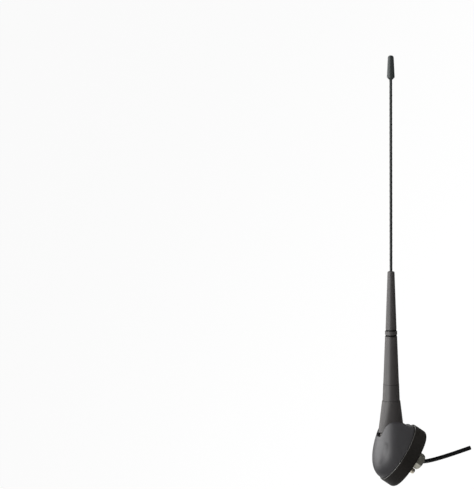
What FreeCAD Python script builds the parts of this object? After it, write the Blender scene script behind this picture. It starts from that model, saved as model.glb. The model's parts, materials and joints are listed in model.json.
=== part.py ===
import FreeCAD, Part
import math
import os

# Car roof antenna: a tilting whip on a domed base with a rubber roof boot.
# Units are millimetres. +Z is the roof's outward normal, +X points to the rear of the car.
# The origin is on the threaded stud's axis, in the plane of the roof skin.

Vector = FreeCAD.Vector
AXIS_Y = Vector(0, 1, 0)
AXIS_Z = Vector(0, 0, 1)

# Clearances between pieces that fit together
SEAT_GAP = 0.15
RIM_GAP = 0.4
RUN_GAP = 0.04
WASHER_GAP = 0.1
SLIDE_GAP = 0.3

# Rubber boot between the base and the roof skin
BOOT_CENTRE_X = -4.2
BOOT_LENGTH = 73.6
BOOT_FOOT_WIDTH = 48.0
BOOT_LIP_WIDTH = 55.6
BOOT_RAKE = 0.75
BOOT_HEIGHT = 19.0
BOOT_FOOT_RADIUS = 5.5
BOOT_LIP_RADIUS = 1.8
BOOT_SKIRT = 8.0
BOOT_WEB = 4.0
BOOT_COLLAR = 4.0

# Domed housing with the slot that the mast foot tilts in
DOME_LENGTH = 69.4
DOME_WIDTH = 54.0
DOME_HEIGHT = 34.0
DOME_PEAK_X = 12.5
DOME_REAR_X = 30.8
DOME_WALL = 2.5
DOME_EDGE = 0.6
DOME_CUT_SHARE = 0.957
DOME_SECTIONS = 7
FRONT_CURVE = (2.4, 1.2)
REAR_CURVE = (3.0, 3.0)
SIDE_CURVE = (2.2, 1.9)
SLOT_WIDTH = 20.0
SLOT_END_RADIUS = 4.5
SLOT_MARGIN_ANGLE = 2.0

# Die-cast base: plate, two ears for the pivot, hollow stud and locating peg
PLATE_THICKNESS = 4.5
PLATE_SPIGOT = 1.5
EAR_THICKNESS = 3.5
EAR_RADIUS = 8.0
BOSS_RADIUS = 9.0
BOSS_RECESS = 0.4
STUD_RADIUS = 5.0
STUD_DROP = 9.7
STUD_BORE = 3.2
STUD_CHAMFER = 0.6
PEG_X = -13.2
PEG_RADIUS = 3.1
PEG_ROOT_RADIUS = 5.0
PEG_DROP = 10.8
PEG_EDGE = 1.4

# Housing screws, from under the plate into bosses in the dome
SCREW_RADIUS = 1.5
SCREW_HEAD_RADIUS = 2.8
SCREW_HEAD_HEIGHT = 1.8
SCREW_REACH = 6.0
SCREW_BOSS_RADIUS = 3.2
SCREW_FRONT_X = -23.0
SCREW_REAR_X = 17.0
SCREW_FRONT_Y = 11.5
SCREW_REAR_Y = 13.7

# Tilt pivot and mast attitude
PIVOT_X = 5.6
PIVOT_Z = 34.0
MAST_ANGLE = 33.0
RAISE_ANGLE = 10.0
LOWER_ANGLE = 10.0
PIN_RADIUS = 3.0
PIN_HEAD_RADIUS = 5.0
PIN_HEAD_HEIGHT = 2.0
PIN_TAIL = 2.6
CLIP_RADIUS = 5.0
CLIP_THICKNESS = 1.0
CLIP_GROOVE_RADIUS = 2.4
CLIP_OPENING = 60.0
WASHER_RADIUS = 8.0
WASHER_THICKNESS = 0.6

# Mast foot: oval cone with a skirt over a round hub
HUB_RADIUS = 12.0
HUB_EDGE = 1.2
FOOT_WIDTH = 18.6
FOOT_LENGTH = 45.0
FOOT_TOP_RADIUS = 10.5
FOOT_SKIRT_HEIGHT = 7.5
FOOT_SKIRT_DEPTH = 15.4
FOOT_SKIRT_EDGE = 1.5
FOOT_TOP_EDGE = 0.5
FOOT_JOIN_TOLERANCE = 0.00001
BUSH_RADIUS = 5.0
CONTACT_BAND_WIDTH = 6.0
CONTACT_BAND_DEPTH = 0.8
CONTACT_BAND_SPREAD = 0.4
INSERT_RADIUS = 4.5
INSERT_LENGTH = 26.0
INSERT_BORE_DEPTH = 18.0

# Screw-on mast: stud, moulded sleeve, whip and cap
THREAD_RADIUS = 2.5
THREAD_LENGTH = 14.0
ROD_STUD_RADIUS = 3.4
ROD_STUD_LENGTH = 30.0
SLEEVE_LENGTH = 150.5
SLEEVE_BASE_RADIUS = 9.95
BAND_LENGTH = 19.2
BAND_TOP_RADIUS = 9.25
BAND_STEP = 0.15
LOWER_CONE_LENGTH = 75.0
LOWER_CONE_RADIUS = 7.0
RING_GROOVE = 2.2
RING_BEAD = 3.9
RING_DEPTH = 0.9
UPPER_CONE_RADIUS = 6.35
SLEEVE_TOP_RADIUS = 4.05
SLEEVE_TOP_EDGE = 1.2
WHIP_RADIUS = 1.7
WHIP_LENGTH = 365.0
CAP_SOCKET = 22.0
CAP_LENGTH = 27.7
CAP_NECK = 2.6
CAP_COLLAR_RADIUS = 2.2
CAP_BASE_RADIUS = 4.5
CAP_TOP_RADIUS = 3.3
CAP_CROWN = 2.6

# Hardware under the roof skin
ROOF_GRIP = 2.3
LOCK_WASHER_RADIUS = 8.8
LOCK_WASHER_THICKNESS = 1.0
LOCK_TEETH = 16
LOCK_TOOTH = 1.1
NUT_FLATS = 17.0
NUT_HEIGHT = 8.8
NUT_CHAMFER = 0.9
NUT_TURN = 12.0

# Feed: insulator, contact leaf, coaxial lead
INSULATOR_FLANGE_RADIUS = 5.5
INSULATOR_LENGTH = 12.0
CONTACT_LENGTH = 17.0
CONTACT_WIDTH = 6.0
CONTACT_THICKNESS = 0.4
CABLE_RADIUS = 2.4
FERRULE_LENGTH = 9.0
CORE_RADIUS = 1.4
CONDUCTOR_RADIUS = 0.45
CABLE_ROUTE = [(0.0, -9.7), (2.0, -13.5), (5.9, -18.7), (11.7, -24.9),
               (19.3, -32.2), (27.8, -40.0), (36.8, -47.9), (44.3, -54.4)]
CABLE_BEND_SHARE = 0.45

# Values worked out from the sizes above
DOME_BASE_Z = BOOT_HEIGHT
PLATE_TOP_Z = DOME_BASE_Z + PLATE_SPIGOT
PLATE_BOTTOM_Z = PLATE_TOP_Z - PLATE_THICKNESS
EAR_INNER_Y = FOOT_WIDTH / 2 + WASHER_THICKNESS + 2 * WASHER_GAP
EAR_OUTER_Y = EAR_INNER_Y + EAR_THICKNESS
DOME_FRONT_X = DOME_REAR_X - DOME_LENGTH
DOME_CENTRE_X = (DOME_REAR_X + DOME_FRONT_X) / 2
NUT_TOP_Z = -ROOF_GRIP - LOCK_WASHER_THICKNESS
MAST_PLACE = FreeCAD.Placement(Vector(PIVOT_X, 0, PIVOT_Z), FreeCAD.Rotation(AXIS_Y, 90 - MAST_ANGLE))


def oval_wire(centre_x, half_length, half_width, z):
    """Ellipse in a level plane, its long axis along X or Y as the sizes ask."""
    centre = Vector(centre_x, 0, z)
    edge = Part.Ellipse(centre, max(half_length, half_width), min(half_length, half_width)).toShape()
    if half_width > half_length:
        edge.rotate(centre, AXIS_Z, 90)
    return Part.Wire([edge])


def oval_block(centre_x, half_length, half_width, z_low, z_high):
    face = Part.Face(oval_wire(centre_x, half_length, half_width, z_low))
    return face.extrude(Vector(0, 0, z_high - z_low))


def cylinder_z(radius, z_low, z_high, x=0.0, y=0.0):
    return Part.makeCylinder(radius, z_high - z_low, Vector(x, y, z_low), AXIS_Z)


def cylinder_y(radius, y_low, y_high, x=0.0, z=0.0):
    return Part.makeCylinder(radius, y_high - y_low, Vector(x, y_low, z), AXIS_Y)


def pivot_cylinder(radius, y_low, y_high):
    return cylinder_y(radius, y_low, y_high, PIVOT_X, PIVOT_Z)


def turned(profile):
    """Solid of revolution about Z from a closed profile of (radius, height) corners."""
    corners = [Vector(radius, 0, height) for radius, height in profile]
    face = Part.Face(Part.makePolygon(corners + corners[:1]))
    return face.revolve(Vector(0, 0, 0), AXIS_Z, 360)


def rim_edge(shape, z):
    """The longest edge that lies whole in the level plane at z."""
    flat = 1e-4
    level = [e for e in shape.Edges if abs(e.BoundBox.ZMin - z) < flat and abs(e.BoundBox.ZMax - z) < flat]
    return max(level, key=lambda edge: edge.Length)


def on_mast(shape, lift=0.0):
    """Carry a piece drawn upright, lift above the pivot, to the mast's own lean."""
    raised = FreeCAD.Placement(Vector(0, 0, lift), FreeCAD.Rotation())
    placed = shape.copy()
    placed.Placement = MAST_PLACE.multiply(raised).multiply(shape.Placement)
    return placed


# Roof boot


def boss_shape(extra, z_low, z_high):
    """Round boss about the stud joined to the root of the locating peg."""
    main = cylinder_z(BOSS_RADIUS + extra, z_low, z_high)
    return main.fuse(cylinder_z(PEG_ROOT_RADIUS + extra, z_low, z_high, PEG_X))


def roof_boot():
    half_length = BOOT_LENGTH / 2
    half_width = BOOT_FOOT_WIDTH / 2
    foot = oval_wire(BOOT_CENTRE_X, half_length, half_width, 0)
    lip = oval_wire(BOOT_CENTRE_X + BOOT_RAKE, half_length, BOOT_LIP_WIDTH / 2, BOOT_HEIGHT)
    outer = Part.makeLoft([foot, lip], True, True)
    outer = outer.makeFillet(BOOT_FOOT_RADIUS, [rim_edge(outer, 0)])
    outer = outer.makeFillet(BOOT_LIP_RADIUS, [rim_edge(outer, BOOT_HEIGHT)])
    web_z = PLATE_BOTTOM_Z - BOOT_WEB
    hollow = oval_block(BOOT_CENTRE_X, half_length - BOOT_SKIRT, half_width - BOOT_SKIRT, 0, web_z)
    hollow = hollow.cut(boss_shape(SEAT_GAP + BOOT_COLLAR, 0, web_z))
    recess = plate_block(SEAT_GAP, PLATE_BOTTOM_Z, BOOT_HEIGHT)
    return outer.cut([hollow, recess, boss_shape(SEAT_GAP, 0, BOOT_HEIGHT)])


# Domed housing


def swell(share, curve):
    """Rounded falloff from 1 at the dome's rim to 0 at its peak."""
    rise, run = curve
    return (1 - share ** rise) ** (1 / run)


def dome_solid(inset):
    """Egg-shaped dome, drawn in by inset all over, cut level just under its peak."""
    height = DOME_HEIGHT - inset
    front = DOME_PEAK_X - DOME_FRONT_X - inset
    rear = DOME_REAR_X - DOME_PEAK_X - inset
    side = DOME_WIDTH / 2 - inset
    wires = []
    for step in range(DOME_SECTIONS):
        share = DOME_CUT_SHARE * math.sin(math.pi / 2 * step / (DOME_SECTIONS - 1))
        x_front = DOME_PEAK_X - front * swell(share, FRONT_CURVE)
        x_rear = DOME_PEAK_X + rear * swell(share, REAR_CURVE)
        half_width = side * swell(share, SIDE_CURVE)
        z = DOME_BASE_Z + height * share
        wires.append(oval_wire((x_front + x_rear) / 2, (x_rear - x_front) / 2, half_width, z))
    return Part.makeLoft(wires, True, False)


def slot_front_angle():
    """Lean of the slot's front wall: the raised skirt's front corner, plus a margin."""
    corner = math.degrees(math.atan2(FOOT_SKIRT_DEPTH, FOOT_SKIRT_HEIGHT))
    return MAST_ANGLE + RAISE_ANGLE + corner + SLOT_MARGIN_ANGLE


def slot_rear_angle():
    """Lean of the slot's rear wall: the lowered foot's rear face, plus a margin."""
    foot_face = math.degrees(math.asin(FOOT_SKIRT_DEPTH / (DOME_REAR_X - PIVOT_X - DOME_WALL)))
    return MAST_ANGLE - LOWER_ANGLE - foot_face - SLOT_MARGIN_ANGLE


def slot_cutter():
    """Space that the foot sweeps: a wedge about the pivot behind a round-cornered front wall."""
    reach = DOME_LENGTH
    half = SLOT_WIDTH / 2
    pivot = Vector(PIVOT_X, 0, PIVOT_Z)
    front = Part.makeBox(reach, SLOT_WIDTH, reach, Vector(0, -half, 0))
    upright = [e for e in front.Edges if e.BoundBox.XMax < half and e.BoundBox.ZMax > half]
    corners = [e for e in upright if e.BoundBox.ZMin < half and e.BoundBox.YLength < half]
    front = front.makeFillet(SLOT_END_RADIUS, corners)
    front.Placement = FreeCAD.Placement(pivot, FreeCAD.Rotation(AXIS_Y, 90 - slot_front_angle()))
    rear_wall = math.radians(slot_rear_angle())
    rear = pivot + Vector(math.cos(rear_wall), 0, math.sin(rear_wall)) * reach
    outline = Part.makePolygon([pivot, rear, pivot + Vector(reach, 0, reach), pivot])
    wedge = Part.Face(outline).extrude(AXIS_Y * SLOT_WIDTH)
    wedge.translate(Vector(0, -half, 0))
    hub_room = pivot_cylinder(HUB_RADIUS + SLIDE_GAP, -half, half)
    return front.fuse([wedge, hub_room])


def screw_places():
    places = []
    for side in (-1, 1):
        places.append((SCREW_FRONT_X, side * SCREW_FRONT_Y))
        places.append((SCREW_REAR_X, side * SCREW_REAR_Y))
    return places


def housing():
    outer = dome_solid(0)
    outer = outer.makeChamfer(DOME_EDGE, [rim_edge(outer, DOME_BASE_Z)])
    shell = outer.cut(dome_solid(DOME_WALL))
    core = dome_solid(DOME_WALL / 2)
    boss_z = PLATE_TOP_Z + SEAT_GAP
    top_z = DOME_BASE_Z + DOME_HEIGHT
    for x, y in screw_places():
        boss = cylinder_z(SCREW_BOSS_RADIUS, boss_z, top_z, x, y).common(core)
        shell = shell.fuse(boss)
    pilots = [cylinder_z(SCREW_RADIUS, boss_z, boss_z + SCREW_REACH, x, y) for x, y in screw_places()]
    return shell.cut([slot_cutter()] + pilots)


# Die-cast base


def plate_block(extra, z_low, z_high):
    """Oval plate that drops into the boot and inside the housing's rim."""
    inset = DOME_WALL + RIM_GAP - extra
    return oval_block(DOME_CENTRE_X, DOME_LENGTH / 2 - inset, DOME_WIDTH / 2 - inset, z_low, z_high)


def pivot_ear(y_low):
    foot = Part.makeBox(2 * EAR_RADIUS, EAR_THICKNESS, PIVOT_Z - PLATE_TOP_Z,
                        Vector(PIVOT_X - EAR_RADIUS, y_low, PLATE_TOP_Z))
    return foot.fuse(pivot_cylinder(EAR_RADIUS, y_low, y_low + EAR_THICKNESS))


def base_casting():
    plate = plate_block(0, PLATE_BOTTOM_Z, PLATE_TOP_Z)
    stud = cylinder_z(STUD_RADIUS, -STUD_DROP, BOSS_RECESS)
    stud = stud.makeChamfer(STUD_CHAMFER, [rim_edge(stud, -STUD_DROP)])
    peg = cylinder_z(PEG_RADIUS, -PEG_DROP, BOSS_RECESS, PEG_X)
    peg = peg.makeFillet(PEG_EDGE, [rim_edge(peg, -PEG_DROP)])
    boss = boss_shape(0, BOSS_RECESS, PLATE_BOTTOM_Z)
    ears = [pivot_ear(EAR_INNER_Y), pivot_ear(-EAR_OUTER_Y)]
    casting = plate.fuse([boss, stud, peg] + ears)
    cuts = [cylinder_z(STUD_BORE, -STUD_DROP, PLATE_TOP_Z)]
    cuts.append(pivot_cylinder(PIN_RADIUS + RUN_GAP, -EAR_OUTER_Y, EAR_OUTER_Y))
    for x, y in screw_places():
        cuts.append(cylinder_z(SCREW_RADIUS + SEAT_GAP, PLATE_BOTTOM_Z, PLATE_TOP_Z, x, y))
        head_z = PLATE_BOTTOM_Z + SCREW_HEAD_HEIGHT
        cuts.append(cylinder_z(SCREW_HEAD_RADIUS + SEAT_GAP, PLATE_BOTTOM_Z, head_z, x, y))
    return casting.cut(cuts)


def housing_screws():
    head_z = PLATE_BOTTOM_Z + SCREW_HEAD_HEIGHT
    tip_z = PLATE_TOP_Z + SCREW_REACH
    screws = []
    for x, y in screw_places():
        head = cylinder_z(SCREW_HEAD_RADIUS, PLATE_BOTTOM_Z, head_z, x, y)
        screws.append(head.fuse(cylinder_z(SCREW_RADIUS, head_z, tip_z, x, y)).removeSplitter())
    return Part.makeCompound(screws)


# Tilt pivot


def clip_groove_y():
    return EAR_OUTER_Y + RUN_GAP


def pivot_pin():
    shank = pivot_cylinder(PIN_RADIUS, -EAR_OUTER_Y, EAR_OUTER_Y + PIN_TAIL)
    head = pivot_cylinder(PIN_HEAD_RADIUS, -EAR_OUTER_Y - PIN_HEAD_HEIGHT, -EAR_OUTER_Y)
    groove_end = clip_groove_y() + CLIP_THICKNESS + RUN_GAP
    groove = pivot_cylinder(PIN_RADIUS, EAR_OUTER_Y, groove_end)
    groove = groove.cut(pivot_cylinder(CLIP_GROOVE_RADIUS, EAR_OUTER_Y, groove_end))
    return shank.fuse(head).cut(groove).removeSplitter()


def pin_clip():
    """Open retaining ring in the pin's groove, its mouth facing down."""
    low = clip_groove_y()
    high = low + CLIP_THICKNESS
    ring = pivot_cylinder(CLIP_RADIUS, low, high)
    mouth = CLIP_RADIUS * math.tan(math.radians(CLIP_OPENING / 2))
    corner = Vector(PIVOT_X - mouth, low, PIVOT_Z - CLIP_RADIUS)
    gap = Part.makeBox(2 * mouth, CLIP_THICKNESS, CLIP_RADIUS, corner)
    return ring.cut([pivot_cylinder(CLIP_GROOVE_RADIUS + RUN_GAP, low, high), gap])


def friction_washers():
    washers = []
    inner_y = FOOT_WIDTH / 2 + WASHER_GAP
    for low in (inner_y, -inner_y - WASHER_THICKNESS):
        ring = pivot_cylinder(WASHER_RADIUS, low, low + WASHER_THICKNESS)
        washers.append(ring.cut(pivot_cylinder(PIN_RADIUS + SEAT_GAP, low, low + WASHER_THICKNESS)))
    return Part.makeCompound(washers)


# Mast foot, drawn upright with the pivot at the origin


def contact_band():
    """Brass strip let into the underside of the hub."""
    half = CONTACT_BAND_WIDTH / 2
    ring = pivot_cylinder(HUB_RADIUS, -half, half)
    ring = ring.cut(pivot_cylinder(HUB_RADIUS - CONTACT_BAND_DEPTH, -half, half))
    spread = HUB_RADIUS * CONTACT_BAND_SPREAD
    corner = Vector(PIVOT_X - HUB_RADIUS, -half, PIVOT_Z - HUB_RADIUS)
    window = Part.makeBox(HUB_RADIUS + spread, CONTACT_BAND_WIDTH, HUB_RADIUS - spread, corner)
    return ring.common(window)


def mast_foot():
    half = FOOT_WIDTH / 2
    skirt = oval_wire(0, FOOT_SKIRT_DEPTH, half, FOOT_SKIRT_HEIGHT)
    top = oval_wire(0, FOOT_TOP_RADIUS, FOOT_TOP_RADIUS, FOOT_LENGTH)
    cone = Part.makeLoft([skirt, top], True, True)
    cone = cone.makeFillet(FOOT_SKIRT_EDGE, [rim_edge(cone, FOOT_SKIRT_HEIGHT)])
    cone = cone.makeChamfer(FOOT_TOP_EDGE, [rim_edge(cone, FOOT_LENGTH)])
    hub = cylinder_y(HUB_RADIUS, -half, half)
    hub = hub.makeFillet(HUB_EDGE, [e for e in hub.Edges if e.BoundBox.YLength < HUB_EDGE])
    # The hub's flat ends all but touch the narrow sides of the cone, so the two join with a tolerance.
    foot = cone.fuse([hub], FOOT_JOIN_TOLERANCE)
    foot = foot.cut(cylinder_y(BUSH_RADIUS, -half, half))
    foot = foot.cut(cylinder_z(INSERT_RADIUS, FOOT_LENGTH - INSERT_LENGTH, FOOT_LENGTH))
    return on_mast(foot).cut(contact_band())


def pivot_bush():
    half = FOOT_WIDTH / 2
    bush = pivot_cylinder(BUSH_RADIUS, -half, half)
    return bush.cut(pivot_cylinder(PIN_RADIUS + RUN_GAP, -half, half))


def thread_insert():
    insert = cylinder_z(INSERT_RADIUS, FOOT_LENGTH - INSERT_LENGTH, FOOT_LENGTH)
    bore = cylinder_z(THREAD_RADIUS + RUN_GAP, FOOT_LENGTH - INSERT_BORE_DEPTH, FOOT_LENGTH)
    return on_mast(insert.cut(bore))


# Screw-on mast, drawn upright; heights are counted from the joint with the foot


def rod_stud():
    stud = turned([(0, -THREAD_LENGTH), (THREAD_RADIUS, -THREAD_LENGTH), (THREAD_RADIUS, 0),
                   (ROD_STUD_RADIUS, 0), (ROD_STUD_RADIUS, ROD_STUD_LENGTH), (0, ROD_STUD_LENGTH)])
    return on_mast(stud, FOOT_LENGTH)


def mast_sleeve():
    """Tapered moulding: grip band, lower cone, a bead between two grooves, upper cone."""
    groove_1 = LOWER_CONE_LENGTH
    bead = groove_1 + RING_GROOVE
    groove_2 = bead + RING_BEAD
    upper = groove_2 + RING_GROOVE
    groove_radius = UPPER_CONE_RADIUS - RING_DEPTH
    profile = [(ROD_STUD_RADIUS, 0), (SLEEVE_BASE_RADIUS - FOOT_TOP_EDGE, 0),
               (SLEEVE_BASE_RADIUS, FOOT_TOP_EDGE), (BAND_TOP_RADIUS, BAND_LENGTH),
               (BAND_TOP_RADIUS - BAND_STEP, BAND_LENGTH), (LOWER_CONE_RADIUS, groove_1),
               (groove_radius, groove_1), (groove_radius, bead), (LOWER_CONE_RADIUS, bead),
               (LOWER_CONE_RADIUS, groove_2), (groove_radius, groove_2), (groove_radius, upper),
               (UPPER_CONE_RADIUS, upper), (SLEEVE_TOP_RADIUS, SLEEVE_LENGTH),
               (WHIP_RADIUS, SLEEVE_LENGTH), (WHIP_RADIUS, ROD_STUD_LENGTH),
               (ROD_STUD_RADIUS, ROD_STUD_LENGTH)]
    sleeve = turned(profile)
    sleeve = sleeve.makeFillet(SLEEVE_TOP_EDGE, [rim_edge(sleeve, SLEEVE_LENGTH)])
    return on_mast(sleeve, FOOT_LENGTH)


def whip_end():
    return ROD_STUD_LENGTH + WHIP_LENGTH


def whip_rod():
    return on_mast(cylinder_z(WHIP_RADIUS, ROD_STUD_LENGTH, whip_end()), FOOT_LENGTH)


def tip_cap():
    low = whip_end() - CAP_SOCKET
    top = low + CAP_LENGTH
    cap = turned([(WHIP_RADIUS, low), (CAP_COLLAR_RADIUS, low), (CAP_BASE_RADIUS, low + CAP_NECK),
                  (CAP_TOP_RADIUS, top), (0, top), (0, whip_end()), (WHIP_RADIUS, whip_end())])
    return on_mast(cap.makeFillet(CAP_CROWN, [rim_edge(cap, top)]), FOOT_LENGTH)


# Hardware under the roof skin


def toothed_washer():
    corners = []
    for step in range(2 * LOCK_TEETH):
        radius = LOCK_WASHER_RADIUS - LOCK_TOOTH * (step % 2)
        angle = math.pi * step / LOCK_TEETH
        corners.append(Vector(radius * math.cos(angle), radius * math.sin(angle), NUT_TOP_Z))
    star = Part.Face(Part.makePolygon(corners + corners[:1])).extrude(AXIS_Z * LOCK_WASHER_THICKNESS)
    return star.cut(cylinder_z(STUD_RADIUS + SEAT_GAP, NUT_TOP_Z, -ROOF_GRIP))


def hex_nut():
    corner_radius = NUT_FLATS / math.sqrt(3)
    low = NUT_TOP_Z - NUT_HEIGHT
    corners = []
    for step in range(6):
        angle = math.radians(60 * step + NUT_TURN)
        corners.append(Vector(corner_radius * math.cos(angle), corner_radius * math.sin(angle), low))
    block = Part.Face(Part.makePolygon(corners + corners[:1])).extrude(AXIS_Z * NUT_HEIGHT)
    face_radius = NUT_FLATS / 2
    rise = (corner_radius - face_radius) * NUT_CHAMFER
    rounding = turned([(0, low), (face_radius, low), (corner_radius, low + rise),
                       (corner_radius, NUT_TOP_Z - rise), (face_radius, NUT_TOP_Z), (0, NUT_TOP_Z)])
    return block.common(rounding).cut(cylinder_z(STUD_RADIUS + RUN_GAP, low, NUT_TOP_Z))


# Feed through the stud


def contact_top():
    return PIVOT_Z - HUB_RADIUS - SLIDE_GAP


def feed_insulator():
    flange_top = contact_top() - CONTACT_THICKNESS
    low = PLATE_TOP_Z - INSULATOR_LENGTH
    bush = cylinder_z(STUD_BORE, low, PLATE_TOP_Z)
    flange = cylinder_z(INSULATOR_FLANGE_RADIUS, PLATE_TOP_Z, flange_top)
    return bush.fuse(flange).cut(cylinder_z(CONDUCTOR_RADIUS, low, flange_top)).removeSplitter()


def feed_contact():
    low = contact_top() - CONTACT_THICKNESS
    corner = Vector(PIVOT_X - CONTACT_LENGTH / 2, -CONTACT_WIDTH / 2, low)
    leaf = Part.makeBox(CONTACT_LENGTH, CONTACT_WIDTH, CONTACT_THICKNESS, corner)
    return leaf.cut(cylinder_z(CONDUCTOR_RADIUS, low, contact_top()))


def coax_core():
    step_z = PLATE_TOP_Z - INSULATOR_LENGTH
    return turned([(0, -STUD_DROP), (CORE_RADIUS, -STUD_DROP), (CORE_RADIUS, step_z),
                   (CONDUCTOR_RADIUS, step_z), (CONDUCTOR_RADIUS, contact_top()), (0, contact_top())])


def cable_ferrule():
    high = FERRULE_LENGTH - STUD_DROP
    return cylinder_z(STUD_BORE, -STUD_DROP, high).cut(cylinder_z(CORE_RADIUS, -STUD_DROP, high))


def coax_cable():
    """Tube along straight runs joined by tangent arcs, each as large as its runs allow."""
    points = [Vector(x, 0, z) for x, z in CABLE_ROUTE]
    edges = []
    start = points[0]
    radii = []
    for before, corner, after in zip(points, points[1:], points[2:]):
        back = before - corner
        ahead = after - corner
        inset = CABLE_BEND_SHARE * min(back.Length, ahead.Length)
        turn = math.pi - back.getAngle(ahead)
        radii.append(inset / math.tan(turn / 2))
        arc_in = corner + back.normalize() * inset
        arc_out = corner + ahead.normalize() * inset
        bisector = (back + ahead).normalize()
        middle = corner + bisector * (radii[-1] / math.cos(turn / 2) - radii[-1])
        edges.append(Part.LineSegment(start, arc_in).toShape())
        edges.append(Part.Arc(arc_in, middle, arc_out).toShape())
        start = arc_out
    edges.append(Part.LineSegment(start, points[-1]).toShape())
    path = Part.Wire(edges)
    section = Part.Wire([Part.Circle(points[0], points[1] - points[0], CABLE_RADIUS).toShape()])
    tube = path.makePipeShell([section], True, False)
    ratio = tube.Volume / (math.pi * CABLE_RADIUS ** 2 * path.Length)
    print("cable length %.1f, smallest radius %.1f, volume ratio %.4f" % (path.Length, min(radii), ratio))
    return tube


PIECES = [roof_boot, housing, base_casting, housing_screws, pivot_pin, pin_clip, friction_washers,
          mast_foot, pivot_bush, contact_band, thread_insert, rod_stud, mast_sleeve, whip_rod, tip_cap,
          toothed_washer, hex_nut, feed_insulator, feed_contact, coax_core, cable_ferrule, coax_cable]

os.makedirs("parts", exist_ok=True)
for piece in PIECES:
    shape = piece()
    shape.exportStep("parts/%s.step" % piece.__name__)
    facts = (piece.__name__, len(shape.Solids), shape.isValid(), shape.Volume)
    print("%-18s solids %d valid %s volume %.1f" % facts)
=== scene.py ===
# %% [markdown]
# # Roof antenna
# A whip antenna for a car roof: a tapered plastic mast that tilts in an egg-shaped housing, a rubber boot
# that seals it to the roof, and underneath a threaded stud with its nut, a locating peg and a short coaxial
# lead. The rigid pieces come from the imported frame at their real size. This lesson gives them their
# finishes, winds the whip, lays the lead and sets up the light and the camera. Lengths are in metres, as
# everywhere in Blender.

import json
import math

import bmesh
import bpy
from mathutils import Matrix, Vector


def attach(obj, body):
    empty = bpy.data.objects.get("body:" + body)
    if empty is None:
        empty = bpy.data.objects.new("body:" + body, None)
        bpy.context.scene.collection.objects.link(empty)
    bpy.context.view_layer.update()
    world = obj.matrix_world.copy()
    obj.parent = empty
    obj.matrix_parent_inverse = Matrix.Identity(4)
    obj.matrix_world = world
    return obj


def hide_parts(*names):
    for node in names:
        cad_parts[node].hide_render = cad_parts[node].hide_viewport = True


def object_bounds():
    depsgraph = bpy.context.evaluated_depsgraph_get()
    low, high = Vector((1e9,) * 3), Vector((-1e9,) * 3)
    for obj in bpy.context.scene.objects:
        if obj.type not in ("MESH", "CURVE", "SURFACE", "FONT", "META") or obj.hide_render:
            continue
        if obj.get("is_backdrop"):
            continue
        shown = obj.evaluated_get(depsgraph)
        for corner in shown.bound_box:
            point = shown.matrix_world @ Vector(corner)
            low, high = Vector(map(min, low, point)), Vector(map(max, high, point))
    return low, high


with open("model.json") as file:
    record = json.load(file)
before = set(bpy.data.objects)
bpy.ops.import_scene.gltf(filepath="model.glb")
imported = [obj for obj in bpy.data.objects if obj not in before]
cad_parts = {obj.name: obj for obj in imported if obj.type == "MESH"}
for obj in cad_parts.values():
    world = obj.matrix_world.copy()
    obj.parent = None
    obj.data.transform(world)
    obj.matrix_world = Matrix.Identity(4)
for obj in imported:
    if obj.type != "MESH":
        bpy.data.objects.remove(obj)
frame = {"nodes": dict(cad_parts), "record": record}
MM = 0.001
cad_low, cad_high = (list(corner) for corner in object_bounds())
print("nodes:", len(frame["nodes"]), "box:", [round(high - low, 4) for low, high in zip(cad_low, cad_high)])

# %% [markdown]
# ## The camera
# The picture was taken with a long lens from the side of the car, a little above the roof, and then turned
# so that the leaning mast stands upright. A camera could be turned by hand until it fits. Here its three
# axes are worked out from three angles, so each angle can be read and changed by itself. The lens is long,
# so there is hardly any perspective, and the aim point's place beside the middle of the picture is a plain
# sideways move of the camera.

# %% Camera
PICTURE = (474, 489)
VIEW_AZIMUTH = math.radians(0.18)
VIEW_ELEVATION = math.radians(17.5)
VIEW_ROLL = math.radians(58.55)
VIEW_DISTANCE = 8.0
METRES_PER_PIXEL = 1.149 * MM
CAMERA_REACH = 100.0
AIM_POINT = Vector((150, 0, 100)) * MM
# Where the aim point lies from the middle of the picture: to the right, and upwards.
AIM_ASIDE = (199.4 * MM, -67.8 * MM)

level_right = Vector((math.cos(VIEW_AZIMUTH), math.sin(VIEW_AZIMUTH), 0))
towards_camera = Vector((
    math.sin(VIEW_AZIMUTH) * math.cos(VIEW_ELEVATION),
    -math.cos(VIEW_AZIMUTH) * math.cos(VIEW_ELEVATION),
    math.sin(VIEW_ELEVATION),
))
level_up = towards_camera.cross(level_right)
picture_right = level_right * math.cos(VIEW_ROLL) - level_up * math.sin(VIEW_ROLL)
picture_up = level_right * math.sin(VIEW_ROLL) + level_up * math.cos(VIEW_ROLL)

camera_data = bpy.data.cameras.new("long_lens")
camera_data.lens = camera_data.sensor_width * VIEW_DISTANCE / METRES_PER_PIXEL / max(PICTURE)
camera_data.clip_end = CAMERA_REACH
camera = bpy.data.objects.new("camera", camera_data)
bpy.context.scene.collection.objects.link(camera)
bpy.context.scene.camera = camera
middle = AIM_POINT - picture_right * AIM_ASIDE[0] - picture_up * AIM_ASIDE[1]
camera.matrix_world = Matrix((picture_right, picture_up, towards_camera)).transposed().to_4x4()
camera.location = middle + towards_camera * VIEW_DISTANCE
print("lens:", round(camera_data.lens), "mm")

# %% [markdown]
# ## The coaxial lead
# The lead leaves the hollow stud, bends towards the rear under its own stiffness and ends in a clean cut.
# It could be a mesh tube; a curve with a round bevel keeps its length and thickness exact and its line
# smooth. The points are the route's own, as control points of a curve of the third order, which starts and
# ends on its end points.

# %% Lead
# The route's points in x and z, in millimetres; y is 0 all along.
LEAD_ROUTE = (
    (0, -9.7),
    (2.0, -13.5),
    (5.9, -18.7),
    (11.7, -24.9),
    (19.3, -32.2),
    (27.8, -40.0),
    (36.8, -47.9),
    (44.3, -54.4),
)
LEAD_RADIUS = 2.4 * MM
LEAD_STEPS = 24
LEAD_ROUNDNESS = 10


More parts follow.
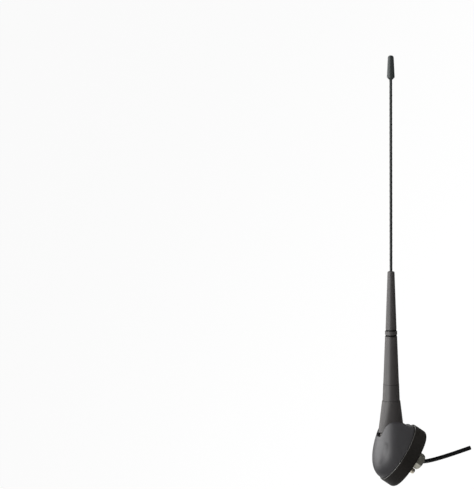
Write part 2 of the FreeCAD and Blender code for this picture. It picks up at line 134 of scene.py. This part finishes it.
def lead_curve(name, radius):
    """Round cord along the lead's route."""
    data = bpy.data.curves.new(name, "CURVE")
    data.dimensions = "3D"
    line = data.splines.new("NURBS")
    line.points.add(len(LEAD_ROUTE) - 1)
    for point, (x, z) in zip(line.points, LEAD_ROUTE):
        point.co = (x * MM, 0, z * MM, 1)
        point.radius = radius
    line.order_u = 3
    line.use_endpoint_u = True
    line.resolution_u = LEAD_STEPS
    # A point's radius scales the bevel, and the curve's own box counts it in metres. So the points carry the
    # real radius and the bevel is 1, which keeps the box true.
    data.bevel_depth = 1.0
    data.bevel_resolution = LEAD_ROUNDNESS
    data.use_fill_caps = True
    piece = bpy.data.objects.new(name, data)
    bpy.context.scene.collection.objects.link(piece)
    return piece


lead = lead_curve("coax_lead", LEAD_RADIUS)
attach(lead, "base")
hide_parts("coax_cable")

# %% [markdown]
# ## The wound whip
# The whip is a glass-fibre rod with a cord wound round it in a slow spiral, which keeps it from whistling
# in the wind. The frame has it as a plain rod. Here its skin is one grid of points whose radius swells
# along the spiral, so the winding is a real shape. A screw modifier could turn a profile round the rod too,
# but would leave its ends open.

# %% Whip
# The mast leans about its pivot. Its joint with the foot lies MAST_JOINT up the mast, and heights on the
# mast count from there.
PIVOT = Vector((5.6, 0, 34)) * MM
MAST_LEAN = math.radians(33)
MAST_JOINT = 45 * MM
WHIP_ENDS = (30 * MM, 395 * MM)
WHIP_CORE_RADIUS = 1.58 * MM
CORD_HEIGHT = 0.12 * MM
CORD_WIDTH = 2.0 * MM
CORD_PITCH = 6.7 * MM
WHIP_STEP = 0.5 * MM
WHIP_SIDES = 20

upright_to_mast = Matrix.Translation(PIVOT) @ Matrix.Rotation(math.pi / 2 - MAST_LEAN, 4, "Y")


def add_mesh(name, points, faces, body):
    """Smooth-shaded piece that rides on a body of the frame."""
    mesh = bpy.data.meshes.new(name)
    mesh.from_pydata(points, [], faces)
    shape = bmesh.new()
    shape.from_mesh(mesh)
    bmesh.ops.recalc_face_normals(shape, faces=shape.faces)
    shape.to_mesh(mesh)
    shape.free()
    mesh.shade_smooth()
    piece = bpy.data.objects.new(name, mesh)
    bpy.context.scene.collection.objects.link(piece)
    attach(piece, body)
    return piece


def cord_swell(turn, height):
    """Height of the wound cord over the rod's core, at a share of a turn and a height on the rod."""
    off_cord = (turn - height / CORD_PITCH + 0.5) % 1 - 0.5
    across = abs(off_cord) * CORD_PITCH / (CORD_WIDTH / 2)
    return CORD_HEIGHT * math.sqrt(max(0, 1 - across ** 2))


def wound_whip():
    """The rod's skin with the swell of its cord, and a face at each end."""
    rows = round((WHIP_ENDS[1] - WHIP_ENDS[0]) / WHIP_STEP)
    points = []
    for row in range(rows + 1):
        height = WHIP_ENDS[0] + row * WHIP_STEP
        for side in range(WHIP_SIDES):
            turn = side / WHIP_SIDES
            radius = WHIP_CORE_RADIUS + cord_swell(turn, height)
            angle = math.tau * turn
            upright = Vector((radius * math.cos(angle), radius * math.sin(angle), MAST_JOINT + height))
            points.append(upright_to_mast @ upright)
    faces = [tuple(reversed(range(WHIP_SIDES))), tuple(range(rows * WHIP_SIDES, (rows + 1) * WHIP_SIDES))]
    for row in range(rows):
        for side in range(WHIP_SIDES):
            here = row * WHIP_SIDES + side
            beside = row * WHIP_SIDES + (side + 1) % WHIP_SIDES
            faces.append((here, beside, beside + WHIP_SIDES, here + WHIP_SIDES))
    return add_mesh("wound_whip", points, faces, "mast")


whip = wound_whip()
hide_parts("whip_rod")
cord_turns = round((WHIP_ENDS[1] - WHIP_ENDS[0]) / CORD_PITCH)
print("whip:", len(whip.data.polygons), "faces,", cord_turns, "turns of cord")

# %% [markdown]
# ## The lead's cut end
# The lead ends in a clean cut. Looking at it end on, there is the jacket, then the tinned braid, the white
# core and the bright conductor, each a little longer than the one round it, as a stripping tool leaves
# them. They are turned from short profiles about the lead's last direction.

# %% Cut end
END_SIDES = 32
# Each profile is a row of (radius, length past the cut) in millimetres, from inside the jacket outwards.
BRAID_PROFILE = ((2.0, -0.6), (2.0, 0.05), (1.9, 0.12), (1.5, 0.12))
CORE_PROFILE = ((1.4, -0.6), (1.4, 0.25), (1.3, 0.32), (0.5, 0.32))
CONDUCTOR_PROFILE = ((0.45, -0.6), (0.45, 0.5), (0.36, 0.58), (0.1, 0.58))


def turned_at_cut(name, profile):
    """Solid turned from a profile about the lead's last direction."""
    (x_before, z_before), (x_cut, z_cut) = LEAD_ROUTE[-2:]
    cut = Vector((x_cut, 0, z_cut))
    along = Vector((x_cut - x_before, 0, z_cut - z_before)).normalized()
    sideways = Vector((0, 1, 0))
    points = []
    for radius, past in profile:
        for side in range(END_SIDES):
            angle = math.tau * side / END_SIDES
            spoke = sideways * math.cos(angle) + along.cross(sideways) * math.sin(angle)
            points.append((cut + along * past + spoke * radius) * MM)
    last = (len(profile) - 1) * END_SIDES
    faces = [tuple(range(END_SIDES)), tuple(range(last, last + END_SIDES))]
    for start in range(0, last, END_SIDES):
        for side in range(END_SIDES):
            here, beside = start + side, start + (side + 1) % END_SIDES
            faces.append((here, beside, beside + END_SIDES, here + END_SIDES))
    return add_mesh(name, points, faces, "base")


braid_end = turned_at_cut("braid_end", BRAID_PROFILE)
core_end = turned_at_cut("core_end", CORE_PROFILE)
conductor_end = turned_at_cut("conductor_end", CONDUCTOR_PROFILE)
print("cut end:", [piece.name for piece in (braid_end, core_end, conductor_end)])

# %% [markdown]
# ## Painted seam shade, groove shade and boot lip
# Where the housing stands on the boot, a nearly black ring paints the shade of the gap between them, and the
# boot's upper edge carries a thin smooth bead, left by the line where its mould closed, whose paler colour
# paints part of its highlight. Black rings in the mast's two grooves paint their shade, and a fine one paints
# a dark line at the top of its lowest band. All are rings of round section along an oval. A torus stretched
# to an oval would change its thickness on the way round, so the section is set square to the oval at each
# step.

# %% Seam shade, groove shade and lip
RING_STEPS = 240
RING_SIDES = 12
# Rings on the base: middle in x, half length, half width, height, and radius of the section, in millimetres.
SEAM_SHADE_RING = (-3.9, 34.3, 26.6, 19.0, 0.55)
LIP_RING = (-3.47, 36.1, 26.75, 18.45, 0.6)
# Rings on the mast: height above its joint, radius of the ring, and radius of the section, in millimetres.
LOWER_GROOVE_RING = (76.1, 6.1, 0.5)
UPPER_GROOVE_RING = (82.2, 5.8, 0.5)
BAND_RING = (19.2, 9.1, 0.2)


def oval_ring(name, body, slot, centre_x, half_length, half_width, z, radius):
    """Ring of round section along an oval, level on the base or square to the mast; sizes in millimetres."""
    place = upright_to_mast if body == "mast" else Matrix.Identity(4)
    points = []
    for step in range(RING_STEPS):
        angle = math.tau * step / RING_STEPS
        on_oval = Vector((centre_x + half_length * math.cos(angle), half_width * math.sin(angle), z))
        outwards = Vector((half_width * math.cos(angle), half_length * math.sin(angle), 0)).normalized()
        for side in range(RING_SIDES):
            tilt = math.tau * side / RING_SIDES
            off_oval = outwards * math.cos(tilt) + Vector((0, 0, math.sin(tilt)))
            points.append(place @ ((on_oval + off_oval * radius) * MM))
    faces = []
    for step in range(RING_STEPS):
        ahead = (step + 1) % RING_STEPS
        for side in range(RING_SIDES):
            beside = (side + 1) % RING_SIDES
            faces.append((step * RING_SIDES + side, ahead * RING_SIDES + side,
                          ahead * RING_SIDES + beside, step * RING_SIDES + beside))
    return add_mesh(name, points, faces, body)


def mast_ring(name, height, ring_radius, radius):
    """Ring round the mast at a height above its joint with the foot."""
    z = MAST_JOINT / MM + height
    return oval_ring(name, "mast", "mast_plastic", 0, ring_radius, ring_radius, z, radius)


# This dark ring paints the shade in the gap where the housing meets the boot.
seam_shade = oval_ring("housing_seam_shade", "base", "boot_rubber", *SEAM_SHADE_RING)
# The bead's paler finish paints part of the highlight along the boot's lip.
lip_bead = oval_ring("boot_lip_bead", "base", "boot_rubber", *LIP_RING)
# These black rings paint the shade in the mast's two grooves and a dark line at the top of its lowest band.
mast_rings = [
    mast_ring("lower_groove_ring", *LOWER_GROOVE_RING),
    mast_ring("upper_groove_ring", *UPPER_GROOVE_RING),
    mast_ring("band_line", *BAND_RING),
]
print("rings:", [piece.name for piece in [seam_shade, lip_bead] + mast_rings])

# %% [markdown]
# ## The housing's ridges
# From each front corner of the slot a soft ridge runs down the front of the housing and fades out. It is
# laid on the housing as a slim skin: a grid of points is dropped on the housing from above and then raised,
# most of all along the ridge. Sculpting would do it too, but a formula says how high and how wide the ridge
# is.

# %% Ridges
# The crest's line in plan, in millimetres: two parabolas that meet where the line lies furthest out.
RIDGE_X_ENDS = (1.5, -31.0)
RIDGE_WIDEST_X = -8.0
RIDGE_WIDEST_Y = 18.2
RIDGE_BEND_FRONT = 0.0175
RIDGE_BEND_REAR = 0.0335
# Its height, how round the crest is, how far it reaches to either side, and the length over which it begins.
RIDGE_HEIGHT = 0.9
RIDGE_CREST = 1.0
RIDGE_REACH_IN = 9.0
RIDGE_REACH_OUT = 6.0
RIDGE_START = 6.0
# The skin's grid and how often it is evened, its thickness, and how far it lies over the housing beside
# the ridge.
RIDGE_ROWS = 36
RIDGE_COLUMNS = 24
RIDGE_EVENING = 12
SKIN_DEPTH = 0.5
SKIN_LIFT = 0.02
# Near the housing's edge the skin narrows in these steps, until it ends this far inside the edge.
RIDGE_REACH_STEP = 0.25
RIDGE_EDGE_GAP = 0.5
ABOVE_HOUSING = 80.0


def ridge_point(share, reach, side):
    """Place in plan at a share of the ridge's length and a reach across it, outwards positive."""
    x = RIDGE_X_ENDS[0] + (RIDGE_X_ENDS[1] - RIDGE_X_ENDS[0]) * share
    bend = RIDGE_BEND_REAR if x > RIDGE_WIDEST_X else RIDGE_BEND_FRONT
    y = RIDGE_WIDEST_Y - bend * (x - RIDGE_WIDEST_X) ** 2
    slope = -2 * bend * (x - RIDGE_WIDEST_X)
    across = Vector((-slope, 1)).normalized() * reach
    return x + across.x, side * (y + across.y)


def ridge_rise(share, reach):
    """Height of the ridge there: steepest at its crest and level at its edges and ends."""
    along = (RIDGE_X_ENDS[0] - RIDGE_X_ENDS[1]) * share
    start = min(1, along / RIDGE_START)
    # The first three factors ease the ridge in without a kink, and the last lets it run out.
    fade = start * start * (3 - 2 * start) * (1 - share ** 2)
    from_crest = math.hypot(reach, RIDGE_CREST) - RIDGE_CREST
    reach_here = RIDGE_REACH_OUT if reach > 0 else RIDGE_REACH_IN
    return RIDGE_HEIGHT * fade * max(0, 1 - from_crest / reach_here) ** 2


def evened(grid):
    """Draws each inner point of a grid to its neighbours, which hides the facets of the shell under it."""
    for _ in range(RIDGE_EVENING):
        before = dict(grid)
        for row in range(1, RIDGE_ROWS):
            for column in range(1, RIDGE_COLUMNS):
                beside = (before[row + 1, column], before[row - 1, column], before[row, column + 1])
                grid[row, column] = sum(beside, before[row, column - 1]) / 4


def dropped(shell, share, reach, side):
    """Drops a point from above: whether it hits the housing, where, and the normal there."""
    above = Vector((*ridge_point(share, reach, side), ABOVE_HOUSING)) * MM
    return shell.ray_cast(above, Vector((0, 0, -1)))[:3]


def outer_reach(shell, share, side):
    """Largest reach across the ridge that still lands on the housing, a little inside its edge."""
    reach = RIDGE_REACH_OUT
    while not dropped(shell, share, reach + RIDGE_EDGE_GAP, side)[0]:
        reach -= RIDGE_REACH_STEP
    return reach


def housing_ridge(name, side):
    """Closed skin with one ridge; side is -1 for the side near the camera and 1 for the far side."""
    shell = frame["nodes"]["housing"]
    rows, columns = range(RIDGE_ROWS + 1), range(RIDGE_COLUMNS + 1)
    places, normals, rises = {}, {}, {}
    for row in rows:
        share = row / RIDGE_ROWS
        width = RIDGE_REACH_IN + outer_reach(shell, share, side)
        for column in columns:
            reach = -RIDGE_REACH_IN + width * column / RIDGE_COLUMNS
            _, places[row, column], normals[row, column] = dropped(shell, share, reach, side)
            on_edge = row in (0, RIDGE_ROWS) or column in (0, RIDGE_COLUMNS)
            rises[row, column] = -SKIN_LIFT if on_edge else SKIN_LIFT + ridge_rise(share, reach)
    evened(places)
    evened(normals)
    spots = list(places)
    points = [places[spot] + normals[spot].normalized() * rises[spot] * MM for spot in spots]
    points += [places[spot] - normals[spot].normalized() * SKIN_DEPTH * MM for spot in spots]
    index = {spot: number for number, spot in enumerate(spots)}
    faces = []
    for row in rows[:-1]:
        for column in columns[:-1]:
            corners = ((row, column), (row, column + 1), (row + 1, column + 1), (row + 1, column))
            top = [index[corner] for corner in corners]
            faces += [top, [number + len(spots) for number in reversed(top)]]
    rim = [(row, 0) for row in rows]
    rim += [(RIDGE_ROWS, column) for column in columns[1:]]
    rim += [(row, RIDGE_COLUMNS) for row in reversed(rows[:-1])]
    rim += [(0, column) for column in reversed(columns[1:-1])]
    for here, ahead in zip(rim, rim[1:] + rim[:1]):
        faces.append((index[here], index[ahead], index[ahead] + len(spots), index[here] + len(spots)))
    return add_mesh(name, points, faces, "base")


ridges = [housing_ridge("housing_ridge_" + name, side) for name, side in (("near", -1), ("far", 1))]
print("ridges:", [len(piece.data.polygons) for piece in ridges], "faces")

# %% [markdown]
# ## Tools for finishes
# Every finish starts from what the real material is. Colours are written as sRGB hex values, as a paint
# program shows them, and one function turns them to the linear values that the shader wants. A second small
# function adds a node, sets its sockets and links it, which keeps each finish short enough to read at a
# glance.

# %% Colour and node helpers
# The Mix node has its sockets once for each kind of data under the same names. These are the colour ones.
MIX_FIRST = 6
MIX_SECOND = 7
MIX_RESULT = 2


def linear(colour):
    """sRGB hex value to linear RGBA, with the sRGB standard's own figures."""
    channels = []
    for start in (1, 3, 5):
        share = int(colour[start:start + 2], 16) / 255
        channels.append(share / 12.92 if share <= 0.04045 else ((share + 0.055) / 1.055) ** 2.4)
    return (*channels, 1.0)


def add(tree, kind, links=None, settings=None, **sockets):
    """Adds a node: settings are its own properties, sockets its input values, links its inputs' sources."""
    node = tree.nodes.new(kind)
    for name, value in (settings or {}).items():
        setattr(node, name, value)
    for name, value in sockets.items():
        node.inputs[name.replace("_", " ")].default_value = value
    for name, source in (links or {}).items():
        tree.links.new(source, node.inputs[name])
    return node


def start_finish(name):
    """A new material with its node tree, its surface shader and coordinates that stick to the piece."""
    material = bpy.data.materials.new(name)
    material.use_nodes = True
    tree = material.node_tree
    shader = tree.nodes["Principled BSDF"]
    place = add(tree, "ShaderNodeTexCoord").outputs["Object"]
    return material, tree, shader, place


def per_metre(size_mm):
    """Texture scale at which one feature of the pattern measures size_mm."""
    return 1 / (size_mm * MM)


print("helpers ready; mid grey is", [round(channel, 3) for channel in linear("#808080")[:3]])

# %% [markdown]
# ## Moulded plastics
# The housing is ABS, moulded in a mould whose surface was spark-eroded to a fine, even grain. The grain
# scatters the light, so highlights are broad and soft. Noise as bump gives that grain, and a much larger,
# faint noise gives the slight cloudiness that such a moulding has. The mast is glass-filled nylon: a warmer
# grey, a little smoother.

# %% Moulded finishes
CLOUD_SIZE_MM = 14
CLOUD_DETAIL = 3.0
GRAIN_DETAIL = 2.0
GRAIN_GLOSS_SPREAD = 0.06
GRAIN_STRENGTH = 0.6
PLASTIC_IOR = 1.52


def grained_plastic(name, colour, cloud_colour, grain_mm, grain_height_mm, roughness, specular):
    """Clouded colour under a fine grain that roughens the gloss; specular is how strongly it mirrors."""
    material, tree, shader, place = start_finish(name)
    cloud_scale = per_metre(CLOUD_SIZE_MM)
    cloud = add(tree, "ShaderNodeTexNoise", {"Vector": place}, Scale=cloud_scale, Detail=CLOUD_DETAIL)
    grain = add(tree, "ShaderNodeTexNoise", {"Vector": place}, Scale=per_metre(grain_mm), Detail=GRAIN_DETAIL)
    tone = add(tree, "ShaderNodeMix", {"Factor": cloud.outputs["Fac"]}, {"data_type": "RGBA"})
    tone.inputs[MIX_FIRST].default_value = linear(colour)
    tone.inputs[MIX_SECOND].default_value = linear(cloud_colour)
    gloss = add(tree, "ShaderNodeMapRange", {"Value": grain.outputs["Fac"]},
                To_Min=roughness - GRAIN_GLOSS_SPREAD, To_Max=roughness + GRAIN_GLOSS_SPREAD)
    bump = add(tree, "ShaderNodeBump", {"Height": grain.outputs["Fac"]},
               Strength=GRAIN_STRENGTH, Distance=grain_height_mm * MM)
    tree.links.new(tone.outputs[MIX_RESULT], shader.inputs["Base Color"])
    tree.links.new(gloss.outputs["Result"], shader.inputs["Roughness"])
    tree.links.new(bump.outputs["Normal"], shader.inputs["Normal"])
    shader.inputs["IOR"].default_value = PLASTIC_IOR
    shader.inputs["Specular IOR Level"].default_value = specular
    return material


# In all of these the real grain is a tenth of a millimetre or finer. That is too fine to show from here, so
# grain_mm draws it several times coarser.

# ABS from a spark-eroded mould: a cool dark grey with a wide, soft sheen on its upper side.
abs_plastic = grained_plastic(
    "spark_grained_abs", "#373638", "#3e3d3f",
    grain_mm=0.5, grain_height_mm=0.05, roughness=0.48, specular=0.4,
)
# Glass-filled nylon: a warmer grey whose fibres lie near the skin and blur the light into a pale stripe.
nylon = grained_plastic(
    "glass_filled_nylon", "#343130", "#3b3736",
    grain_mm=0.45, grain_height_mm=0.03, roughness=0.56, specular=0.5,
)
# EPDM rubber as moulded: nearly black, brownish, and dull enough to mirror nothing.
rubber = grained_plastic(
    "moulded_epdm_rubber", "#242220", "#2b2825",
    grain_mm=0.6, grain_height_mm=0.06, roughness=0.5, specular=0.12,
)
# The same rubber where the polished edges of the mould met, smoother and painted paler: the thin bright line
# along the lip is partly a painted highlight.
smooth_rubber_and_highlight = grained_plastic(
    "smooth_epdm_painted_highlight", "#33312f", "#3b3936",
    grain_mm=0.6, grain_height_mm=0.01, roughness=0.38, specular=0.7,
)
# Painted shade: a nearly black, dull finish for the ring that stands for the shade in the gap where the
# housing meets the boot.
seam_shade_finish = grained_plastic(
    "painted_seam_shade", "#070706", "#0c0b0a",
    grain_mm=0.4, grain_height_mm=0.05, roughness=0.8, specular=0.05,
)
# Painted shade: plain black with hardly any sheen, for the rings that stand for the shade in the mast's
# grooves and at the top of its lowest band.
groove_shade_black = grained_plastic(
    "painted_groove_shade", "#080808", "#0e0e0e",
    grain_mm=0.4, grain_height_mm=0.02, roughness=0.6, specular=0.1,
)
# PVC from an extruder: black and smooth along the lead, so it carries one long highlight.
jacket = grained_plastic(
    "extruded_pvc", "#0c0c0e", "#121214",
    grain_mm=0.9, grain_height_mm=0.02, roughness=0.3, specular=0.4,
)
# Resin-soaked glass fibre with its cord: greenish black, slightly silky.
whip_sleeve = grained_plastic(
    "wound_glass_fibre_sleeve", "#141918", "#1d2322",
    grain_mm=0.5, grain_height_mm=0.02, roughness=0.5, specular=0.25,
)
# Soft vinyl of the cap: the whip's green-black, a shade lighter and matt.
cap_plastic = grained_plastic(
    "moulded_cap_vinyl", "#262c2b", "#2e3433",
    grain_mm=0.5, grain_height_mm=0.02, roughness=0.5, specular=0.3,
)
# Undyed nylon: a milky cream.
nylon_natural = grained_plastic(
    "natural_nylon", "#e6e2d6", "#dcd7c9",
    grain_mm=0.7, grain_height_mm=0.02, roughness=0.4, specular=0.5,
)
# Polyethylene round the conductor: whiter than nylon, and waxy.
polythene = grained_plastic(
    "polyethylene", "#ece9e0", "#e3dfd4",
    grain_mm=0.7, grain_height_mm=0.02, roughness=0.35, specular=0.5,
)
plastics = (abs_plastic, nylon, rubber, smooth_rubber_and_highlight, seam_shade_finish, groove_shade_black, jacket, whip_sleeve, cap_plastic,
            nylon_natural, polythene)
print("plastics and rubbers:", [finish.name for finish in plastics])

# %% [markdown]
# ## Metals
# The base is die-cast zinc alloy, pale and slightly mottled. The nut and washer are steel with a dull zinc
# plate, the inner pins turned steel, and the contacts brass. A metal's colour is its reflection, so
# roughness and its small changes matter most: a noise of a few millimetres gives the mottling, and a fine
# one the worked surface.

# %% Metal finishes
STAIN_DETAIL = 4.0
STAIN_POLISHING = 0.08
STAIN_DULLING = 0.12
TOOL_DETAIL = 2.0
TOOL_STRENGTH = 0.5


def worked_metal(name, colour, stain_colour, stain_mm, roughness, tool_mm, tool_height_mm):
    """Mottled metal whose gloss follows the mottling, with the unevenness that casting or a tool leaves."""
    material, tree, shader, place = start_finish(name)
    stain = add(tree, "ShaderNodeTexNoise", {"Vector": place}, Scale=per_metre(stain_mm), Detail=STAIN_DETAIL)
    tool = add(tree, "ShaderNodeTexNoise", {"Vector": place}, Scale=per_metre(tool_mm), Detail=TOOL_DETAIL)
    tone = add(tree, "ShaderNodeMix", {"Factor": stain.outputs["Fac"]}, {"data_type": "RGBA"})
    tone.inputs[MIX_FIRST].default_value = linear(colour)
    tone.inputs[MIX_SECOND].default_value = linear(stain_colour)
    gloss = add(tree, "ShaderNodeMapRange", {"Value": stain.outputs["Fac"]},
                To_Min=roughness - STAIN_POLISHING, To_Max=roughness + STAIN_DULLING)
    bump = add(tree, "ShaderNodeBump", {"Height": tool.outputs["Fac"]},
               Strength=TOOL_STRENGTH, Distance=tool_height_mm * MM)
    tree.links.new(tone.outputs[MIX_RESULT], shader.inputs["Base Color"])
    tree.links.new(gloss.outputs["Result"], shader.inputs["Roughness"])
    tree.links.new(bump.outputs["Normal"], shader.inputs["Normal"])
    shader.inputs["Metallic"].default_value = 1.0
    return material


# Zinc alloy as cast: pale and creamy, with a mottled skin that spreads the light.
zinc_casting = worked_metal(
    "die_cast_zinc", "#f4ecda", "#e2dac8",
    stain_mm=4.0, roughness=0.6, tool_mm=0.8, tool_height_mm=0.04,
)
# Steel with a dull zinc plate: light and dark faces side by side, each mirroring its own part of the room.
zinc_plate = worked_metal(
    "zinc_plated_steel", "#bab8ac", "#9e9c92",
    stain_mm=2.5, roughness=0.42, tool_mm=0.5, tool_height_mm=0.03,
)
# Turned steel: cold grey with a clean glint. Its tool marks are drawn coarser than they are, as on the brass.
steel = worked_metal(
    "turned_steel", "#b4b6ba", "#9c9ea2",
    stain_mm=3.0, roughness=0.3, tool_mm=0.3, tool_height_mm=0.01,
)
# Turned brass: warm yellow, slightly toned by handling.
brass = worked_metal(
    "turned_brass", "#c9a45c", "#b28e4c",
    stain_mm=3.0, roughness=0.3, tool_mm=0.3, tool_height_mm=0.01,
)
print("metals:", [finish.name for finish in (zinc_casting, zinc_plate, steel, brass)])

# %% [markdown]
# ## Finishes on the frame's pieces
# Each piece of the frame names a slot in its record, so one table from slot to finish dresses them all.

# %% Dressing
FINISHES = {
    "boot_rubber": rubber,
    "housing_plastic": abs_plastic,
    "mast_plastic": nylon,
    "whip_jacket": whip_sleeve,
    "zinc_casting": zinc_casting,
    "zinc_plate": zinc_plate,
    "steel": steel,
    "brass": brass,
    "insulator": nylon_natural,
    "cable_jacket": jacket,
    "cable_core": polythene,
}
for part in frame["record"]["subparts"]:
    node = frame["nodes"][part["node"]]
    node.data.materials.clear()
    node.data.materials.append(FINISHES[part["material_slot"]])
modelled = [
    (lead, jacket),
    (whip, whip_sleeve),
    # The seam ring carries painted shade.
    (seam_shade, seam_shade_finish),
    # The lip bead's paler colour is partly a painted highlight.
    (lip_bead, smooth_rubber_and_highlight),
    (braid_end, steel),
    (core_end, polythene),
    (conductor_end, brass),
]
modelled += [(ridge, abs_plastic) for ridge in ridges]
# The mast's rings carry painted groove shade.
modelled += [(ring, groove_shade_black) for ring in mast_rings]
for piece, finish in modelled:
    piece.data.materials.append(finish)
# The cap has the whip's slot in the record, but is of softer stuff.
frame["nodes"]["tip_cap"].data.materials[0] = cap_plastic
print("dressed:", len(frame["nodes"]), "pieces")

# %% [markdown]
# ## Stage and light
# The antenna is fixed to a roof in use, so here it hangs over a pale paper floor that fills the picture and
# meets a white surround. A large softbox overhead lights the upper side. A second one, high at the front on
# the camera's side, is there for its reflection only, the pale stripe down the mast, and a small low one
# lifts the shaded underside. A dark thing looks dark only if what it mirrors is dark, so a black card lies
# under it and a black tent stands round it, as photographers do it, and a second card keeps the floor's
# light off the front. The camera doesn't see these three and they cast no shadow.

# %% Floor, cards and tent


def level_sheet(name, x_ends, y_ends, z):
    """Level sheet between two ends in x and in y."""
    (x_low, x_high), (y_low, y_high) = x_ends, y_ends
    corners = [(x_low, y_low, z), (x_high, y_low, z), (x_high, y_high, z), (x_low, y_high, z)]
    mesh = bpy.data.meshes.new(name)
    mesh.from_pydata(corners, [], [(0, 1, 2, 3)])
    sheet = bpy.data.objects.new(name, mesh)
    bpy.context.scene.collection.objects.link(sheet)
    sheet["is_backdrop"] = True
    return sheet


def dark_tent(name, half_side, low, high):
    """Four walls and a roof of black cloth round the stage."""
    corners = [(x, y, z) for z in (low, high) for x, y in ((-1, -1), (1, -1), (1, 1), (-1, 1))]
    points = [(x * half_side, y * half_side, z) for x, y, z in corners]
    walls = [(side, (side + 1) % 4, (side + 1) % 4 + 4, side + 4) for side in range(4)]
    mesh = bpy.data.meshes.new(name)
    mesh.from_pydata(points, [], walls + [(4, 5, 6, 7)])
    tent = bpy.data.objects.new(name, mesh)
    bpy.context.scene.collection.objects.link(tent)
    tent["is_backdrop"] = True
    return tent


def backdrop_share(tree):
    """1 for rays that look at the surroundings: from the camera, in a reflection or through glass."""
    rays = add(tree, "ShaderNodeLightPath").outputs
    seen = rays["Is Camera Ray"]
    for kind in ("Is Glossy Ray", "Is Transmission Ray"):
        seen = add(tree, "ShaderNodeMath", {0: seen, 1: rays[kind]}, {"operation": "MAXIMUM"}).outputs[0]
    return seen


# Drops are below the antenna's lowest point. The card lies under the mast and the shade under the front.
# PAPER_GLOW is how far the floor looks like paper in full light.
FLOOR_DROP = 0.5
FLOOR_ENDS = (-15.0, 15.0)
CARD_DROP = 0.12
CARD_X_ENDS = (-0.1, 0.8)
CARD_Y_ENDS = (-0.6, 0.5)
SHADE_X_ENDS = (-1.5, 0.02)
SHADE_Y_ENDS = (-1.2, 0.6)
TENT_HALF_SIDE = 5.0
TENT_TOP = 3.0
PAPER_GLOW = 0.95
floor = level_sheet("floor", FLOOR_ENDS, FLOOR_ENDS, cad_low[2] - FLOOR_DROP)
card = level_sheet("black_card", CARD_X_ENDS, CARD_Y_ENDS, cad_low[2] - CARD_DROP)
shade = level_sheet("front_card", SHADE_X_ENDS, SHADE_Y_ENDS, cad_low[2] - CARD_DROP)
tent = dark_tent("black_tent", TENT_HALF_SIDE, cad_low[2] - FLOOR_DROP, TENT_TOP)
# The front card only darkens what dull surfaces receive, the other two only what glossy ones mirror.
for flag in (card, shade, tent):
    flag.visible_camera = False
    flag.visible_shadow = False
    flag.visible_diffuse = flag is shade
    flag.visible_glossy = flag is not shade

# Studio paper: a white ground without an edge, on which the shadow still falls.
paper, paper_tree, paper_shader, _ = start_finish("white_studio_paper")
paper_shader.inputs["Base Color"].default_value = linear("#f7f7f6")
paper_shader.inputs["Roughness"].default_value = 0.9
glow = add(paper_tree, "ShaderNodeEmission", Color=linear("#ffffff"), Strength=1.0)
share = add(paper_tree, "ShaderNodeMath", {0: backdrop_share(paper_tree)}, {"operation": "MULTIPLY"})
share.inputs[1].default_value = PAPER_GLOW
sources = {0: share.outputs[0], 1: paper_shader.outputs[0], 2: glow.outputs[0]}
mixed = add(paper_tree, "ShaderNodeMixShader", sources)
paper_tree.links.new(mixed.outputs[0], paper_tree.nodes["Material Output"].inputs["Surface"])
floor.data.materials.append(paper)

# Black velvet: mirrored in the housing and the mast it is a plain dark, which brings out the pale stripes.
velvet, _, velvet_shader, _ = start_finish("black_velvet")
velvet_shader.inputs["Base Color"].default_value = linear("#0a0a0a")
velvet_shader.inputs["Roughness"].default_value = 1.0
velvet_shader.inputs["Specular IOR Level"].default_value = 0.0
for flag in (card, shade, tent):
    flag.data.materials.append(velvet)
print("floor", round(FLOOR_DROP, 2), "m and card", round(CARD_DROP, 2), "m under the antenna")

# %% Room and softboxes
# The room looks white, but lights the antenna with no more than this share of it.
ROOM_LIGHT = 0.08
LIT_POINT = Vector((0.1, 0, 0.1))
world = bpy.data.worlds.new("dim_studio")
bpy.context.scene.world = world
world.use_nodes = True
world_tree = world.node_tree
room = world_tree.nodes["Background"]
room.inputs["Color"].default_value = linear("#ffffff")
brightness = add(world_tree, "ShaderNodeMapRange", {"Value": backdrop_share(world_tree)}, To_Min=ROOM_LIGHT)
world_tree.links.new(brightness.outputs["Result"], room.inputs["Strength"])
bpy.context.scene.view_settings.view_transform = "Standard"


def softbox(name, place, size, watts):
    """Rectangular lamp that faces the antenna."""
    data = bpy.data.lights.new(name, "AREA")
    data.shape = "RECTANGLE"
    data.size, data.size_y = size
    data.energy = watts
    lamp = bpy.data.objects.new(name, data)
    lamp.location = place
    lamp.rotation_euler = (LIT_POINT - lamp.location).to_track_quat("-Z", "Y").to_euler()
    lamp.visible_camera = False
    bpy.context.scene.collection.objects.link(lamp)
    print(name, "at", [round(value, 2) for value in lamp.location], "m,", watts, "W")
    return lamp


softbox("overhead_softbox", place=(-0.1, 0.4, 1.5), size=(3.0, 3.2), watts=118)
# High at the front on the camera's side, for its reflection only.
streak_lamp = softbox("streak_softbox", place=(-0.9, -0.95, 1.25), size=(0.6, 0.6), watts=24)
streak_lamp.visible_diffuse = False
# Below the rear on the camera's side, without a reflection.
low_lamp = softbox("low_softbox", place=(0.45, -0.7, -0.3), size=(0.4, 0.4), watts=1.3)
low_lamp.visible_glossy = False

# %% [markdown]
# ## Last step
# The view layer is brought up to date.

# %% Last step
bpy.context.view_layer.update()
